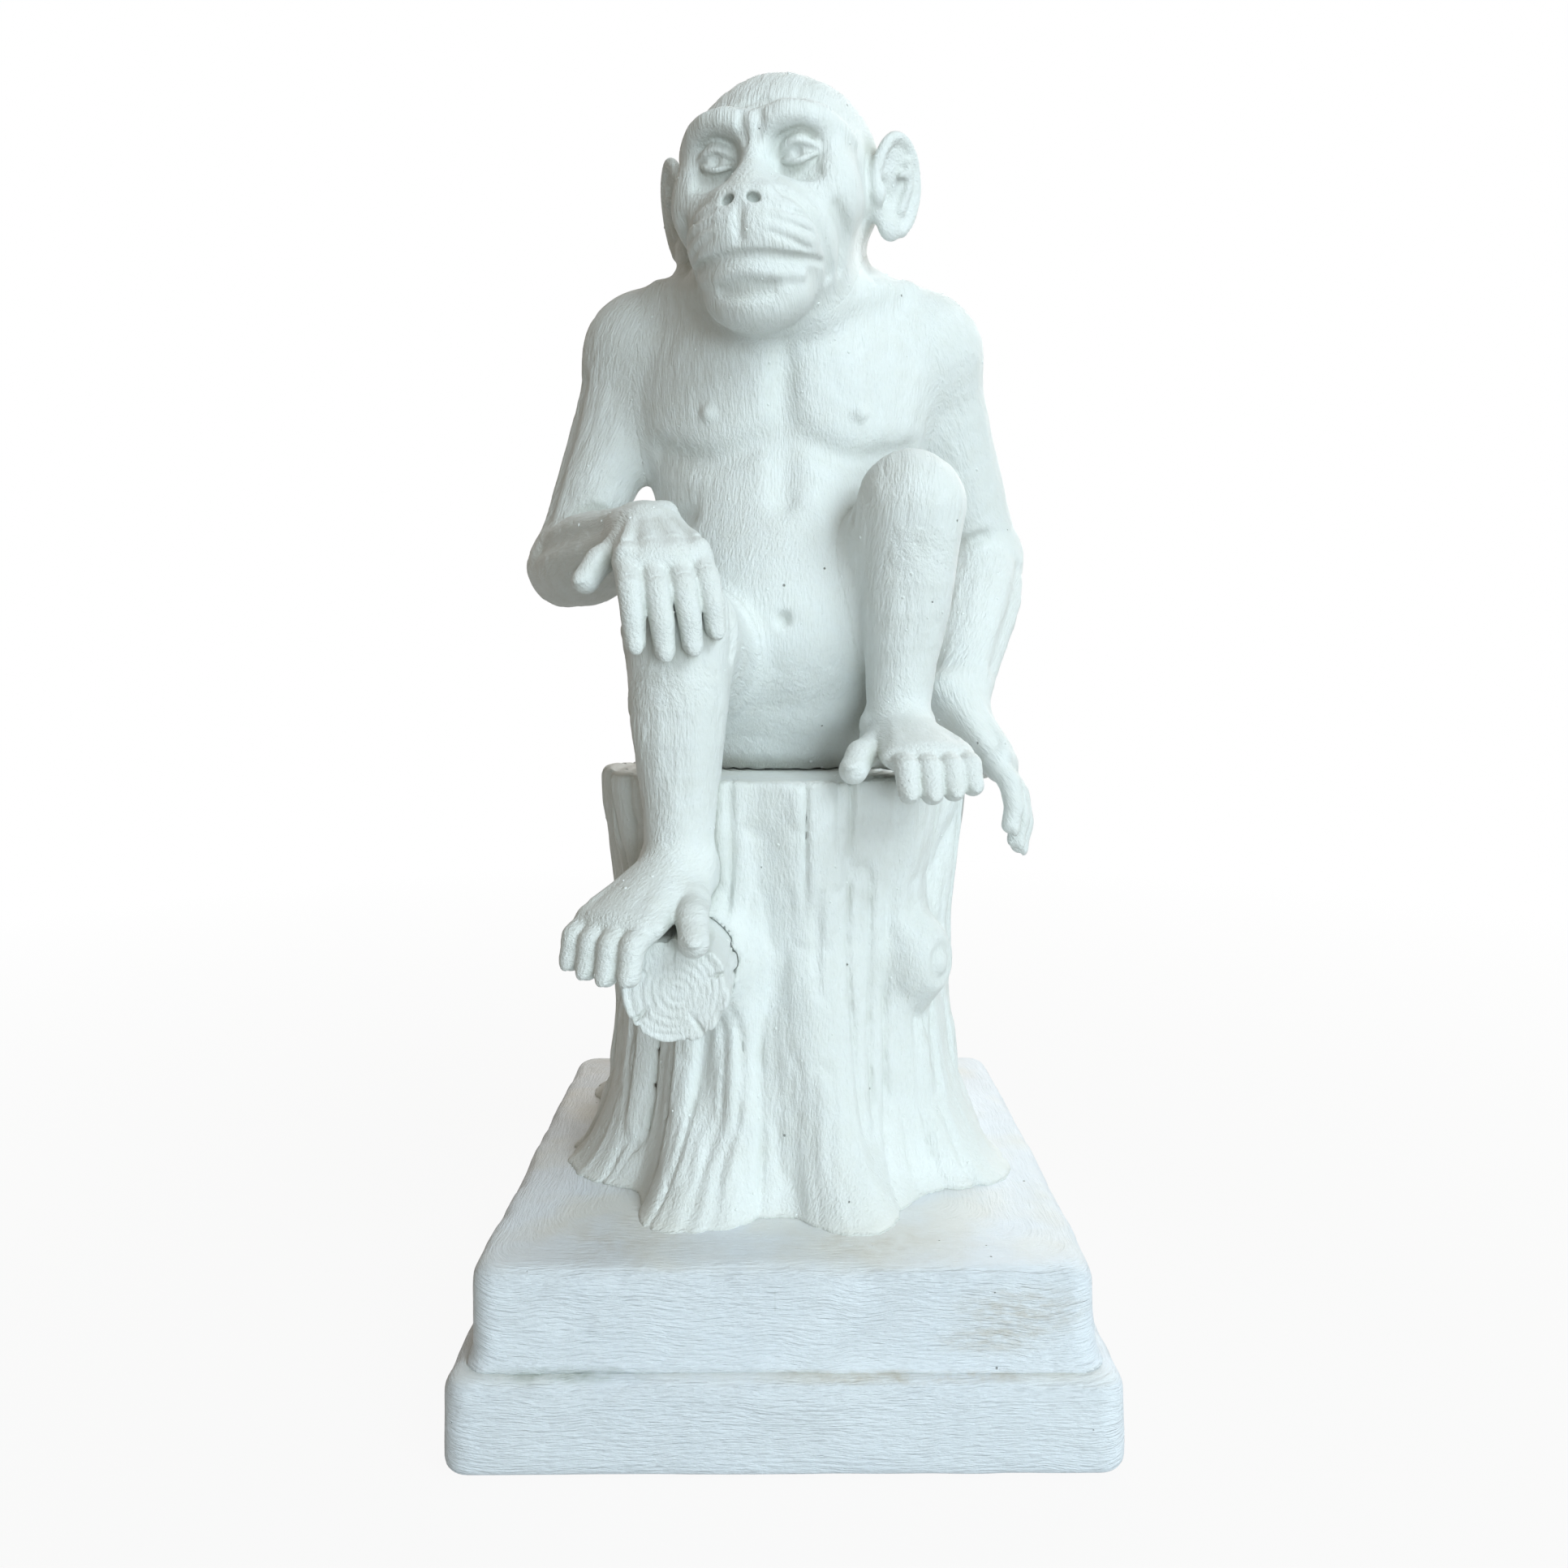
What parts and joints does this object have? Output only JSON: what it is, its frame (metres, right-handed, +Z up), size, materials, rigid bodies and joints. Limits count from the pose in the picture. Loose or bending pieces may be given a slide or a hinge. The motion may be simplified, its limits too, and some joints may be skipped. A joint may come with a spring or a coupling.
{
  "type": "monkey statue",
  "caption": "White painted plaster ornament: an ape seated on a tree stump with a branch stub, on a square stepped plinth.",
  "frame": {"origin": "on the table under the middle of the plinth", "axes": "+Z up through the figure, -Y is the front that the ape faces, +X is the ape's own left"},
  "size_m": [0.14, 0.14, 0.3],
  "materials": {
    "plaster": "cast plaster under brushed matt white paint, with grime in the seams",
    "steel": "plain drawn rod and wire, hidden inside the castings",
    "felt": "dense wool felt"
  },
  "bodies": {
    "root": {"plinth_foot": "plaster", "plinth_cap": "plaster", "tree_stump": "plaster", "branch_stub": "plaster", "torso": "plaster", "head": "plaster", "left_leg": "plaster", "right_leg": "plaster", "left_arm": "plaster", "right_arm": "plaster", "spine_rod": "steel", "neck_pin": "steel", "branch_pin": "steel", "left_arm_wire": "steel", "right_arm_wire": "steel", "left_leg_wire": "steel", "right_leg_wire": "steel", "felt_pad_front_left": "felt", "felt_pad_front_right": "felt", "felt_pad_back_left": "felt", "felt_pad_back_right": "felt"}
  },
  "joints": []
}
